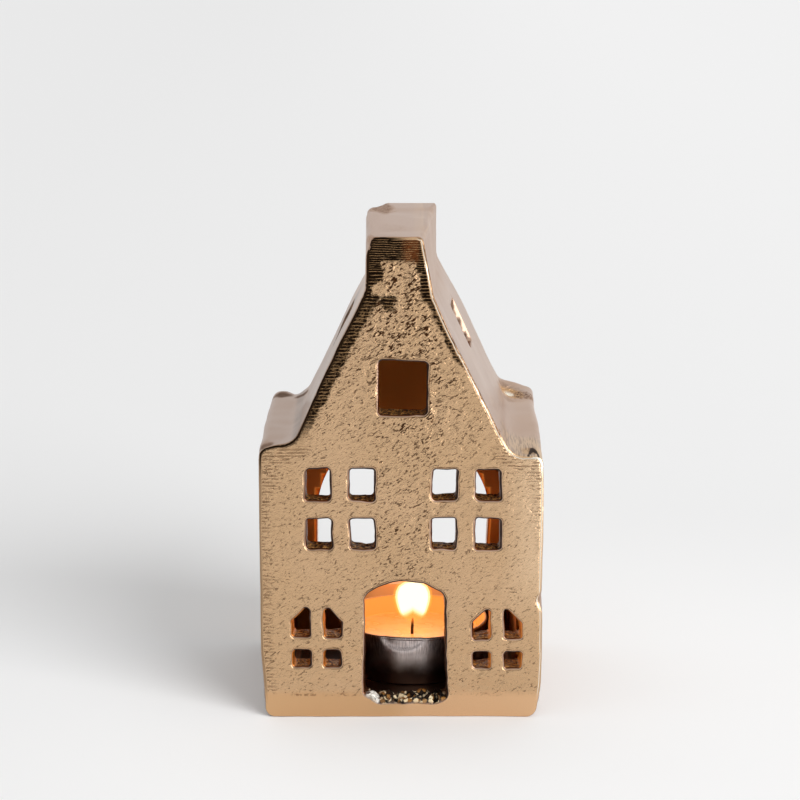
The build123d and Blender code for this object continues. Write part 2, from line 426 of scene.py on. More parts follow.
def cast_surface(bm, settings):
    """Gives the drawn house the uneven, grainy skin of a casting, and marks its zones."""
    # Vector noise starts from the clock unless it is given a seed
    noise.seed_set(NOISE_SEED)
    front_edges = end_edges(bm, -1)
    back_edges = end_edges(bm, 1)
    walls = BVHTree.FromBMesh(bm)
    rim_layer, lip_layer, inside_layer, ledge_layer, sill_layer, shaded_layer, amber_layer = [
        bm.verts.layers.float.new(name)
        for name in ("rim", "lip", "inside", "ledge", "sill", "shaded", "amber")
    ]
    unevenness = settings.unevenness / MM
    grain = settings.grain / MM
    crumbs = settings.crumbs / MM
    flat = HOUSE_HIGH.y / MM - FLAT_MARGIN
    bm.normal_update()
    moves = []
    for vert in bm.verts:
        normal = vert.normal.copy()
        point = vert.co / MM
        outline, openings = front_edges if point.y < 0 else back_edges
        sign = 1.0 if abs(point.y) > flat else -1.0
        distance = outline.distance(vert.co)
        lip = openings.distance(vert.co)
        vert[rim_layer] = distance * sign
        vert[lip_layer] = lip * sign
        seen = walls.ray_cast(vert.co + normal * VIEW_START * MM, normal, ROOM_REACH * MM)[0]
        facing = abs(normal.y) > 0.9 and abs(point.y) < WALL_INSIDE
        # The thickness of the roof round its windows is finished like the outside
        outward = normal.x * math.copysign(ROOF_ACROSS, point.x) + normal.z * ROOF_UP
        roof = point.z > ROOF_WINDOW_FOOT and abs(point.y) < ROOF_WINDOW_HALF
        roof = roof and abs(point.x) > ROOF_WINDOW_OUT and outward > -0.3
        vert[inside_layer] = 1.0 if (seen or facing) and not roof else 0.0
        sill = rise(normal.z, 0.2, 0.6) * rise(point.y, -22.6, -23.4)
        vert[ledge_layer] = sill * rise(point.z, 8.0, 9.0) if seen else 0.0
        vert[shaded_layer] = max(-normal.x, -normal.z)
        # Reveals of the ground windows that face the flame, marked for painted flame light
        towards_flame = -normal.x * math.copysign(1.0, point.x)
        amber = rise(towards_flame, 0.2, 0.7) * rise(abs(point.x), 13.0, 14.0)
        amber *= rise(point.z, 32.0, 31.0) * rise(point.z, 11.0, 12.0)
        vert[amber_layer] = amber * rise(point.y, -22.0, -22.6) * rise(lip, 1.5, 1.0)
        sill *= rise(abs(point.x - SILL_MIDDLE), SILL_HALF, SILL_HALF - 0.8)
        sill *= rise(point.z, SILL_TOP + 0.6, SILL_TOP - 0.6) * rise(point.z, 2.6, 3.2)
        vert[sill_layer] = sill

        move = noise.noise_vector(point / 19) * unevenness
        move += noise.noise_vector(point / 5.5 + Vector((7, 3, 1))) * 0.22 * unevenness
        skin = rise(point.y, -28.0, -28.8) + 0.7 * rise(point.y, 28.0, 28.8)
        skin *= rise(point.z, 5.5, 7.5) * abs(normal.y)
        neck = rise(point.z, 92, 104)
        margin = rise(distance * sign, 0.3, 2.5)
        sand = noise.fractal(point / 1.9, 1.0, 2.0, 3)
        rough = margin * (1.0 + 0.5 * neck)
        move += normal * sand * grain * rough * skin
        if sill:
            lump = noise.noise(point / 1.4 + Vector((3, 5, 9))) + 0.4 * noise.noise(point / 0.6)
            lump *= rise((point - SILL_FACET).length, 1.5, 3.0)
            move += normal * (lump + 0.5) * crumbs * sill
        if vert[ledge_layer]:
            move += normal * noise.noise(point / 1.3) * 0.3 * vert[ledge_layer]
        wobble = rise(lip, 2.0, 0.2) * rise(point.y, -21.0, -22.5)
        move += noise.noise_vector(point / 2.7 + Vector((1, 8, 4))) * 0.3 * wobble
        for middle, reach, push in PUSHES:
            share = fall_off((point - Vector(middle)).length, reach)
            if share:
                move += Vector(push) * share
        moves.append(move * MM)

    for vert, move in zip(bm.verts, moves):
        ground = rise(vert.co.z / MM, 0.2, 4.0)
        move.z *= ground
        if vert[inside_layer] and vert.co.z < 5 * MM and not vert[sill_layer]:
            move.z = min(move.z, 0.0)
        place = vert.co + move
        for axis in (X, Y, Z):
            vert.co[axis] = min(HOUSE_HIGH[axis], max(HOUSE_LOW[axis], place[axis]))


class Plating(Finish):
    """Champagne plating: grainy and pitted at the front and back, satin elsewhere."""

    def __init__(self, settings):
        super().__init__("champagne_plating")
        self.settings = settings
        self.point = point = self.place()
        self.axes = x, y, z = self.parts(point)
        self.rim, self.lip, self.inside, self.ledge, self.sill, self.amber = (
            self.attribute(name) for name in ("rim", "lip", "inside", "ledge", "sill", "amber")
        )
        self.shaded = self.attribute("shaded").step(0.1, 0.5)

        # Where a point lies
        self.front = y.step(-END_ROW, -END_SKIN)
        self.faces = (self.front + y.step(END_ROW, END_SKIN)) * self.rim.step(-0.55, -0.4)
        self.skin = self.faces * z.step(5.0, 7.0) * self.rim.step(0.05, 0.4)
        self.skin = self.skin * self.lip.step(0.0, 0.3)
        self.reveal = self.inside * y.step(-22.3, -22.7)
        self.right = x.step(-3.0, 3.0)
        self.right_of_neck = x.step(3.0, 5.0)
        self.below_neck = z.step(104.0, 100.0)
        self.shoulder = z.step(80.0, 74.0) * z.step(60.0, 64.0)

        # Patterns that several marks share
        self.cloud = self.noise(point, 0.05, 3)
        self.grain = self.noise(self.leaning(point, 36, 1.5), 1.95, 2, 0.55, 0.3)
        self.swell = self.noise(point, 0.75, 2)
        self.dust = self.noise(point, 4.5, 2)
        self.strokes = self.noise(self.vector(x * 0.45, 0.0, z * 1.25), 1.0, 2)
        self.smudge = self.noise(point, 0.28, 3, 0.6)
        # Blotches that break up the painted shade of the shoulder strip and of the right arris's
        # shadow line
        self.blotches = (self.smudge * 0.6 + self.dust * 0.4).step(0.42, 0.56)
        self.flecks = self.noise(point, 1.6, 2).step(0.56, 0.66)
        self.chaos = (self.dust - 0.5) * 1.6 + (self.grain - 0.5) * 1.6
        self.ragged = (self.strokes - 0.5) * 3.0 + (self.smudge - 0.5) * 3.5
        self.frayed = (self.swell - 0.5) * 5.0 + (self.dust - 0.5) * 2.0
        self.waves = self.comb_marks()
        self.smooth_patch = self.outside_patch((-5.0, -29.0, 105.6), 1.2, 2.2)

    def coats(self, colour, *coats):
        """Lays coats over a colour; each is a share and a colour."""
        for share, coat in coats:
            colour = self.mix(share, colour, coat)
        return colour

    def outside_patch(self, middle, low, high):
        """0 on a patch with a frayed edge, and 1 outside it."""
        return (self.near(self.point, middle) + self.frayed).step(low, high)

    def comb_marks(self):
        """Waves across the margins, finer on the neck."""
        z = self.axes[Z]
        wander = (self.noise(self.point, 0.3, 2) - 0.5) * 5.0
        waves = self.math("SINE", z * (math.tau / COMB_PERIOD) + wander)
        fine_waves = self.math("SINE", z * (math.tau / FINE_PERIOD) + wander * 1.5)
        return waves + (fine_waves - waves) * z.step(109.5, 110.5)

    def pits_and_heaviness(self):
        """Pits, the low places of a grain that leans up to the right, and where they are deep."""
        x, _, z = self.axes
        patches = self.noise(self.point, 0.14, 2)
        commas = self.noise(self.leaning(self.point, 32, 2.2), 2.3, 2, 0.5, 0.4)
        furrows = self.noise(self.leaning(self.point, 28, 2.3), 1.0, 3, 0.6, 0.5)
        clusters = self.noise(self.point, 0.42, 2).step(0.36, 0.58)
        middle = x.step(-9.0, -4.0) * x.step(11.0, 6.0) * z.step(28.0, 36.0)
        heavy = z.step(56.0, 88.0) * 0.58 + middle * 0.5 + patches.step(0.4, 0.62) * 0.3
        heavy = heavy * (0.2 + self.rim.step(1.0, 3.5) * 0.8) * (0.45 + clusters * 0.55)
        heavy = heavy * (1 - z.step(34.0, 26.0) * 0.5)
        pits = (commas - heavy * 0.085).step(0.37, 0.32) * (0.5 + heavy * 0.5)
        cracks = furrows.step(0.42, 0.36) * z.step(78.0, 98.0) * self.rim.step(1.0, 2.5)
        return pits.larger(cracks) * self.skin * self.smooth_patch, heavy

    def black_marks(self):
        """The black on the gable's margins and neck, its ridges and its colour."""
        x, _, z = self.axes
        below = self.below_neck
        wide = 3.4 - below * 0.7 - self.right * (1.3 + z.step(90.0, 82.0) * 2.6)
        wide = wide - z.step(84.0, 72.0) * 0.9
        edge = self.rim + self.ragged * (1 - below * 0.45) + self.chaos * below * 0.6 - wide
        edge = edge.step(0.4, -0.4) * z.step(66.0, 76.0)
        top = z + self.ragged * 0.7 + self.chaos * 0.5 + self.right * 0.5
        top = top.step(111.6, 113.0)
        spots = self.near(self.point, (-3.2, -29.0, 102.4)) + self.chaos * 1.4
        spots = (spots + self.ragged * 0.5).step(2.4, 1.4)
        bright_arris = self.right * self.rim.step(0.2, 0.05)
        black = edge.larger(top).larger(spots) * self.front * (1 - bright_arris)
        black = black * self.smooth_patch * self.outside_patch((-3.4, -29.0, 111.0), 0.7, 1.5)
        rust = top * x.step(-0.5, 1.5) * x.step(4.6, 3.6) * 0.8
        ridges = (self.waves + self.chaos * 0.15).step(0.45, 0.95) * self.strokes.step(0.34, 0.5)
        chips = (self.grain + self.dust - 0.5).step(0.54, 0.64) * below
        colour = self.coats(
            tuple(self.settings.black),
            (rust, rgb(112, 64, 34)),
            ((ridges * 0.62).larger(chips * 0.3), rgb(190, 150, 106)),
        )
        return black, ridges, colour

    def margin_lines(self):
        """Fine lines that comb the left and right margins below the gable."""
        z = self.axes[Z]
        reach = 2.0 + z.step(54.0, 60.0) * (2.2 - self.right * 0.9)
        lines = (self.waves + self.chaos * 0.2).step(0.5, -0.5)
        lines = lines * (self.rim + self.ragged * 0.7 - reach).step(1.2, -1.2)
        lines = lines * self.strokes.step(0.42, 0.56) * z.step(68.5, 67.0) * self.skin
        return lines * (1 - self.right * z.step(50.0, 40.0))

    def base_crack(self):
        """The dark crack over the smooth band at the foot of the front."""
        x, _, z = self.axes
        crack = (z + (self.smudge - 0.5) * 2.0 - 5.9).step(0.4, 0.0) * (z - 5.2).step(0.0, 0.4)
        crack = crack * self.grain.step(0.5, 0.42) * self.front
        left, right = abs(x + 18.5).step(9.0, 7.0), abs(x - 20.0).step(6.0, 4.0)
        return crack * left.larger(right * 0.4)

    def gold(self, pits, lines, black, black_colour):
        """The colour of the front and back."""
        x, _, z = self.axes
        # Painted light: the right half of the smooth band at the foot is lighter
        band = self.mix(self.right, rgb(214, 172, 128), rgb(226, 184, 142))
        return self.coats(
            tuple(self.settings.gold),
            (self.cloud.step(0.35, 0.65), rgb(206, 170, 131)),
            # Painted light: the lower right of the front is lighter
            (x.step(22.0, 33.0) * z.step(20.0, 40.0) * 0.65, rgb(236, 204, 168)),
            (z.step(7.5, 5.0), band),
            (pits, tuple(self.settings.pit)),
            (lines * 0.45 + self.base_crack() * 0.55, rgb(112, 74, 44)),
            (black, black_colour),
        )

    def brown_marks_and_shade(self):
        """Brown marks on the shoulders and the cap, partly painted shade in their dents."""
        x, y, z = self.axes
        marks_and_shade = 0.0
        for middle, reach, strength in DARK_SPOTS:
            spot = (self.near(self.point, middle) + self.ragged * 0.7).step(reach, reach * 0.4)
            marks_and_shade = (spot * strength).larger(marks_and_shade)
        crumpled = self.grain + self.dust - 0.5
        mottled = self.near(self.point, (31.2, 20.4, 69.6)) + self.ragged * 0.6
        marks_and_shade = marks_and_shade.larger(mottled.step(3.8, 2.6) * crumpled.step(0.58, 0.46))
        hollow = self.near(self.vector(x + y * 0.12, y * 0.35, z), (-2.8, 7.2, 118.0))
        hollow = (hollow + self.ragged).step(4.4, 2.0)
        marks_and_shade = marks_and_shade.larger(hollow * (crumpled.step(0.6, 0.42) * 0.5 + 0.4))
        mottle = self.near(self.vector(x, y * 0.5, z), (-2.6, -7.0, 118.0)) + self.ragged
        edges = x.step(-3.0, -7.5).larger(y.step(-22.0, -28.0) * x.step(2.0, -3.0))
        edges = edges * z.step(115.5, 117.0)
        return marks_and_shade.larger(mottle.step(4.0, 2.6).larger(edges) * self.dust.step(0.46, 0.36) * 0.6)

    def shoulder_hook(self):
        """A black arch on the right shoulder."""
        x, y, _ = self.axes
        hook = self.near(self.vector(x * 0.83, y * 0.18, 0.0), (26.1, -5.2, 0.0)) - 1.0
        return (abs(hook) + self.ragged * 0.08).step(0.3, 0.12) * self.shoulder

    def satin(self, marks_and_shade, hook):
        """The colour of the walls, roof and cap."""
        x, y, z = self.axes
        brushed = self.noise(self.vector(x * 3.0, y * 0.2, z), 1.0, 2)
        tan = self.mix(brushed.step(0.4, 0.55), rgb(154, 124, 96), rgb(200, 168, 132))
        fading = (y + self.ragged * 1.2).step(-10.0, -17.0)
        # Painted shade: a soft dark strip on the left shoulder at the foot of the roof
        shoulder_shade = abs(x + 25.6 + y * 0.02).step(1.6, 0.3) * self.shoulder
        lip_gold = (self.near(self.point, (28.0, 20.8, 70.0)) + self.ragged * 0.5).step(4.4, 2.8)
        # Painted highlight: a near-white glint on the right shoulder
        glint = self.near(self.vector(x, y * 0.6, 0.0), (27.5, 12.6, 0.0))
        glint = (glint + (self.dust - 0.5) * 1.6).step(1.6, 0.8) * self.shoulder
        # Painted highlight: the front right corner of the right shoulder is lighter
        corner_highlight = x.step(31.8, 32.6) * y.step(-17.0, -21.0) * self.shoulder
        unmarked = 1 - marks_and_shade.larger(hook) * (1 - self.faces)
        cap = z.step(115.5, 117.0)
        # Painted shade: a dark streak on the left roof slope
        slope_shade = abs(y - 6.0 + (x + 16.0) * 0.6).step(7.0, 2.0) * x.step(-9.0, -12.0)
        slope_shade = slope_shade * z.step(76.0, 84.0) * (1 - self.faces)
        return self.coats(
            tuple(self.settings.satin),
            (self.cloud.step(0.3, 0.7), rgb(180, 150, 129)),
            # Painted shade: the left side is darker
            (x.step(-8.0, -16.0) * 0.85, rgb(156, 127, 107)),
            (x.step(3.6, 5.4) * z.step(98.0, 106.0) * 0.9, rgb(172, 130, 94)),
            (fading * x.step(23.0, 25.0) * self.shoulder * 0.9, tan),
            (shoulder_shade * (0.4 + self.blotches * 0.4), rgb(120, 96, 78)),
            # Brown marks, partly painted shade in their dents
            (marks_and_shade, rgb(104, 72, 46)),
            (lip_gold * (1 - marks_and_shade), rgb(200, 158, 110)),
            (glint, rgb(255, 250, 236)),
            (corner_highlight * 0.7, rgb(214, 180, 138)),
            (hook, rgb(44, 29, 18)),
            (cap * unmarked * 0.9, rgb(174, 138, 112)),
            (cap * x.step(1.0, 6.0) * self.strokes.step(0.45, 0.6) * 0.5, rgb(196, 160, 124)),
            (slope_shade * 0.7, rgb(84, 66, 54)),
        )

    def arrises(self, colour):
        """Painted shade on the left edge of the front, and a painted highlight on the right one
        with a dark line each side, the outer one painted shadow.
        """
        x, _, z = self.axes
        rim, right = self.rim, self.right_of_neck
        left_arris_shade = rim.step(0.15, -0.02) * rim.step(-0.5, -0.38) * x.step(-6.0, -7.5)
        left_arris_shade = left_arris_shade * z.step(3.0, 9.0) * (0.45 + z.step(58.0, 66.0) * 0.55)
        thick = x.step(30.6, 31.6) * z.step(60.0, 63.0)
        right_arris_highlight = rim.step(0.01, -0.05) * (rim + thick * 0.25).step(-0.22, -0.15) * right
        inner_line = rim.step(0.06, 0.14) * rim.step(0.44, 0.32) * right * z.step(64.0, 68.0)
        inner_line = inner_line * z.step(96.0, 90.0) * self.strokes.step(0.4, 0.55) * 0.7
        shadow_line = rim.step(-0.18, -0.26) * rim.step(-0.66, -0.5) * right
        shadow_line = shadow_line * z.step(68.0, 71.0) * (0.45 + self.blotches * 0.5)
        return self.coats(
            colour,
            (left_arris_shade * self.front, rgb(46, 30, 18)),
            (right_arris_highlight * self.front * z.step(4.0, 8.0), rgb(255, 246, 230)),
            (shadow_line.larger(inner_line) * self.front, rgb(70, 46, 30)),
        )

    def make(self):
        """Puts the colours and the relief together and returns the material."""
        _, y, z = self.axes
        lip, sill, ledge, grain = self.lip, self.sill, self.ledge, self.grain
        pits, heavy = self.pits_and_heaviness()
        black, ridges, black_colour = self.black_marks()
        lines = self.margin_lines()
        marks_and_shade, hook = self.brown_marks_and_shade(), self.shoulder_hook()
        faces = self.faces
        colour = self.mix(
            faces, self.satin(marks_and_shade, hook), self.gold(pits, lines, black, black_colour)
        )

        # Inside the house, on the thickness of the front wall, and on the sills
        rooms = self.mix(
            z.step(30.0, 38.0) * z.step(68.0, 60.0), tuple(self.settings.inner), rgb(206, 132, 66)
        )
        # Painted shade on the floor inside the house
        shaded_floor = self.inside * z.step(6.0, 4.6)
        # The lighter flecks on the reveals are painted glints
        wall = self.mix(self.flecks * 0.5, tuple(self.settings.reveal), rgb(226, 180, 130))
        lips = lip.step(-0.04, -0.12) * lip.step(-0.68, -0.6) * self.front
        low_floor = z.step(34.0, 31.0)
        # Painted glints along the front of the sills
        sill_glints = self.flecks.larger(grain.step(0.5, 0.6) * lip.step(-1.7, -0.9))
        # Painted shade on the sills: darkest at the upper windows, and at the ground windows
        # darker on the left
        sill_shade = self.mix(self.right, rgb(66, 37, 16), rgb(104, 68, 38))
        sill_shade = self.mix(low_floor, rgb(52, 29, 14), sill_shade)
        # Painted flame light on the reveals that face the flame
        towards_flame = self.amber * lip.step(-0.1, -0.25)
        stone, gap = self.stones(self.point, 0.82)
        gap = (gap + (self.dust - 0.5) * 0.6).step(0.46, 0.68)
        crumb = self.mix(stone.step(0.25, 0.35), rgb(44, 27, 13), rgb(168, 118, 60))
        # The cream stones are painted glints, and the gaps between stones get painted shade
        crumb = self.coats(
            crumb, (stone.step(0.58, 0.68), rgb(255, 232, 190)), (gap, rgb(20, 12, 7))
        )
        # Painted highlight: the facet at the sill's left end is white
        facet = self.near(self.point, tuple(SILL_FACET)).step(2.2, 1.7)
        colour = self.coats(
            self.arrises(colour),
            (self.inside, rooms),
            (shaded_floor, rgb(46, 28, 15)),
            (self.reveal, wall),
            (lips * lip.step(-0.2, -0.4), rgb(122, 70, 40)),
            # Painted shade on the rounded edges of the openings that face left or down
            (lips * self.shaded, rgb(50, 29, 16)),
            (ledge * (1 - sill_glints), sill_shade),
            (ledge * sill_glints * lip.step(-1.7, -0.9), rgb(214, 158, 90)),
            (towards_flame, rgb(190, 116, 50)),
            (sill, crumb),
            (facet * sill, rgb(255, 250, 240)),
        )

        # Painted flame light: the back wall close to the flame glows, and so do the reveals facing
        # it and the ground sills
        lit = self.near(self.point, (CUP_MIDDLE.x / MM, 24.0, 17.0)).step(19.0, 9.0)
        lit = self.inside * lit * y.step(14.0, 20.0)
        warm = towards_flame.larger(ledge * low_floor * 0.3) * (0.4 + self.flecks * 0.6)
        glow = self.coats((0, 0, 0, 1), (lit, rgb(222, 134, 74)), (warm, rgb(138, 76, 24)))

        marks_and_shade = marks_and_shade.larger(hook) * (1 - faces)
        rumple = self.near(self.point, (28.5, 20.6, 69.8)) + self.ragged * 0.8
        rumple = rumple.step(6.0, 2.0)
        relief = 0.16 + heavy * 0.16
        height = grain * relief * self.skin + self.swell * self.skin * (0.1 + heavy * 0.25)
        height = height - pits * 0.16 + self.dust * (0.015 + self.skin * 0.06)
        height = height + (ridges * black - lines) * 0.15 + self.flecks * self.reveal * 0.2
        height = height + (stone * 0.5 - gap * 0.4) * sill
        height = height + rumple * (grain + self.dust * 0.4) * 0.8
        rough = 0.25 + pits * 0.2 + lips * self.shaded * 0.25 + self.inside * 0.08
        rough = rough + self.reveal * 0.1 + (1 - faces) * 0.05 + marks_and_shade * 0.5
        dulled = ledge * (1 - self.flecks) * 0.65
        dulled = dulled.larger(sill * gap.larger(stone.step(0.45, 0.35)) * 0.7)
        dulled = dulled.larger(marks_and_shade * 0.9).larger(shaded_floor * 0.8)
        dulled = dulled.larger(lips * self.shaded * 0.6)
        return self.set({
            "Base Color": colour,
            "Metallic": 1 - dulled,
            "Roughness": rough,
            "Emission Color": glow,
            "Emission Strength": 0.9,
            "Normal": self.bump(height),
        })


class TEALIGHTHOUSE_OT_casting(bpy.types.Operator):
    """Add the house casting"""

    bl_idname = "tealighthouse.casting"
    bl_label = "House casting"

    def execute(self, context):
        settings = context.scene.tealight_casting
        bm = bmesh.new()
        bm.from_mesh(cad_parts["house_casting"].data)
        bmesh.ops.remove_doubles(bm, verts=bm.verts, dist=1e-6)
        bmesh.ops.dissolve_limit(
            bm, angle_limit=math.radians(0.5), verts=bm.verts, edges=bm.edges, delimit={"NORMAL"}
        )
        for level in (SILL_ROW, -END_ROW, END_ROW):
            bmesh.ops.bisect_plane(
                bm,
                geom=[*bm.faces, *bm.edges, *bm.verts],
                dist=1e-7,
                plane_co=(0, level * MM, 0),
                plane_no=(0, 1, 0),
            )
        coarse = 1
        front = HOUSE_LOW.y + 0.1 * MM
        back = HOUSE_HIGH.y - 0.1 * MM

        def zone(face):
            """Tells the front, the back, the sills and the other walls apart."""
            middle = face.calc_center_median()
            if face.normal.y < -0.99 and middle.y < front:
                return "front"
            if face.normal.y > 0.99 and middle.y > back:
                return "back"
            if face.normal.z > 0.5 and middle.y < -22 * MM and middle.z < 60 * MM:
                return "sill"
            return "wall"

        for name, cell, axes in (
            ("front", settings.front_cell, (X, Z)),
            ("back", settings.back_cell, (X, Z)),
            ("sill", settings.sill_cell, (X, Y)),
            ("wall", settings.wall_cell, (X, Y, Z)),
        ):
            faces = [face for face in bm.faces if zone(face) == name]
            cut_into_cells(bm, faces, [(axis, cell * coarse) for axis in axes])
        bmesh.ops.triangulate(bm, faces=bm.faces)
        cast_surface(bm, settings)
        add_piece(
            "house_body", bm, Plating(settings).make(), "house", ["house_casting"]
        )
        return {"FINISHED"}


class TealightSettings(bpy.types.PropertyGroup):
    """Colours of the tealight."""

    foil: colour_property("Foil", "Aluminium of the cup", 226, 214, 210)
    wax: colour_property("Wax", "Paraffin wax", 246, 214, 170)
    wick: colour_property("Wick", "Charred cotton", 40, 28, 22)
    glow: colour_property("Glow", "Light of the flame in the wax", 252, 154, 64)


# Strength of the light that the wax and the lining of the cup pass on from the flame
TEALIGHT_GLOW = 0.55


def spin_outline(bm, points, middle, steps):
    """Turns an outline of radii and heights round an upright axis into a closed shell."""
    verts = [bm.verts.new((middle.x + radius, middle.y, height)) for radius, height in points]
    edges = [bm.edges.new(pair) for pair in zip(verts, verts[1:])]
    bmesh.ops.spin(
        bm, geom=[*verts, *edges], cent=(middle.x, middle.y, 0), axis=(0, 0, 1),
        angle=math.tau, steps=steps, use_merge=True,
    )


def close_poles(bm):
    """Merges the points that meet on the axis, and turns all faces outwards."""
    bmesh.ops.remove_doubles(bm, verts=bm.verts, dist=1e-6)
    bmesh.ops.recalc_face_normals(bm, faces=bm.faces)


class TEALIGHTHOUSE_OT_cup(bpy.types.Operator):
    """Add the aluminium cup of the tealight"""

    bl_idname = "tealighthouse.cup"
    bl_label = "Tealight cup"

    def execute(self, context):
        settings = context.scene.tealight_pieces
        bm = bmesh.new()
        top = CUP_HIGH.z / MM
        foot = CUP_LOW.z / MM
        radius = CUP_RADIUS / MM
        bead = 0.45
        mouth = radius - bead
        bead_points = [
            (mouth + bead * math.cos(turn), top - bead + bead * math.sin(turn))
            for turn in [math.radians(angle) for angle in range(-70, 236, 34)]
        ]
        # Radius and height: under the bottom, up the outside, over the bead and down inside
        outline = [
            (0.0, foot + 0.6),
            (14.6, foot + 0.6),
            (15.1, foot + 0.15),
            (15.6, foot),
            (17.6, foot),
            (17.95, foot + 0.35),
            (18.2, foot + 4.0),
            (18.4, foot + 8.0),
            *bead_points,
            (mouth - 0.3, top - 1.6),
            (17.9, foot + 5.0),
            (17.65, foot + 0.7),
            (15.4, foot + 0.4),
            (14.9, foot + 0.9),
            (0.0, foot + 0.9),
        ]
        spin_outline(bm, [(r * MM, z * MM) for r, z in outline], CUP_MIDDLE, 160)
        close_poles(bm)
        side_from = 17 * MM
        bmesh.ops.subdivide_edges(
            bm,
            edges=[edge for edge in bm.edges if edge.calc_length() > 2.5 * MM
                   and min(v.co.z for v in edge.verts) > CUP_LOW.z + 0.3 * MM
                   and (edge.verts[0].co - CUP_MIDDLE).xy.length > side_from],
            cuts=5, use_grid_fill=True,
        )
        bm.normal_update()
        within_layer = bm.verts.layers.float.new("within")
        flutes, flute_depth = 14, 0.05
        dent_depth, dent_half, dent_height = 0.5, 5.6, 3.4
        for vert in bm.verts:
            arm = (vert.co - CUP_MIDDLE).xy
            if arm.length < side_from:
                continue
            vert[within_layer] = 1.0 if vert.normal.xy.dot(arm) < 0 else 0.0
            height = vert.co.z / MM
            turn = math.atan2(arm.y, arm.x)
            flute = noise.noise((math.cos(turn) * flutes, math.sin(turn) * flutes, height * 0.05))
            shift = flute * flute_depth * rise(height, foot + 0.3, foot + 2.0)
            if arm.y < 0:
                dent_x = (vert.co.x - CUP_MIDDLE.x) / MM + 2.5
                share = 1.0 - (dent_x / dent_half) ** 2 - ((top - height) / dent_height) ** 2
                shift -= dent_depth * min(1.0, max(0.0, share) * 3.0)
            vert.co.xy += arm.normalized() * shift * MM
        bmesh.ops.triangulate(bm, faces=bm.faces)

        finish = Finish("drawn_foil")
        place = finish.place()
        x, y, z = finish.parts(place)
        across = x - CUP_MIDDLE.x / MM
        waxed = finish.attribute("within") * z.step(WAX_HIGH.z / MM - 1.5, WAX_HIGH.z / MM)
        streaks = finish.noise(finish.vector(x, y, z * 0.05), 4.5, 3, 0.65)
        cloud = finish.noise(place, 0.25, 2)
        combed = z.step(foot + 5.0, foot + 10.0) * (1 - waxed)
        shade = finish.mix(streaks.step(0.35, 0.7), rgb(164, 152, 150), tuple(settings.foil))
        colour = finish.mix(combed, rgb(190, 178, 174), shade)
        # Painted dark reflection: the foil is darker low down and at its sides
        low = (z + cloud * 4.0).step(foot + 9.5, foot + 4.5) * (1 - waxed)
        sides = (abs(across + 1.0) + cloud * 3.0).step(9.0, 13.0) * (1 - waxed)
        sides = sides * abs(across).step(17.0, 15.0) * z.step(top - 2.0, top - 5.0)
        colour = finish.mix((low * 0.9).larger(sides * 0.75), colour, rgb(62, 40, 28))
        colour = finish.mix(waxed, colour, rgb(244, 190, 130))
        material = finish.set({
            "Base Color": colour,
            "Metallic": 1 - waxed,
            "Roughness": 0.26 + cloud * 0.1 + waxed * 0.3,
            "Emission Color": finish.mix(waxed, (0, 0, 0, 1), rgb(244, 146, 62)),
            "Emission Strength": TEALIGHT_GLOW,
            "Normal": finish.bump(streaks * combed * 0.05),
        })
        add_piece("cup_foil", bm, material, "tealight", ["tealight_cup"], 35.0)
        return {"FINISHED"}


class TEALIGHTHOUSE_OT_wax(bpy.types.Operator):
    """Add the wax"""

    bl_idname = "tealighthouse.wax"
    bl_label = "Wax"

    def execute(self, context):
        settings = context.scene.tealight_pieces
        bm = bmesh.new()
        level = WAX_HIGH.z / MM - 0.6
        bottom = WAX_LOW.z / MM
        # The edge creeps up the foil, and the surface sags a little round the wick
        outline = [(0.0, bottom), (17.5, bottom), (17.85, level + 0.5)]
        outline += [
            (17.75 - 0.12 * step, level + 0.5 - 0.5 * rise(step, 0, 12)) for step in range(1, 13)
        ]
        outline += [
            (14.5, level), (11.0, level - 0.05), (7.0, level - 0.12), (3.0, level - 0.1),
            (1.4, level + 0.05), (0.0, level + 0.1),
        ]
        spin_outline(bm, [(r * MM, z * MM) for r, z in outline], CUP_MIDDLE, 96)
        close_poles(bm)

        finish = Finish("paraffin_wax")
        place = finish.place()
        away = finish.near(place, Vector((CUP_MIDDLE.x, CUP_MIDDLE.y, CUP_HIGH.z)) / MM)
        cloud = finish.noise(place, 0.3, 3)
        colour = finish.mix(cloud.step(0.35, 0.65), tuple(settings.wax), rgb(240, 200, 146))
        glow = finish.mix(away.step(6.0, 20.0), tuple(settings.glow), rgb(244, 146, 62))
        material = finish.set({
            "Base Color": colour,
            "Roughness": 0.18 + cloud * 0.15,
            "Subsurface Weight": 0.3,
            "Emission Color": glow,
            "Emission Strength": TEALIGHT_GLOW,
            "Normal": finish.bump(cloud * 0.15),
        })
        add_piece("wax_fill", bm, material, "tealight", ["wax"])
        return {"FINISHED"}


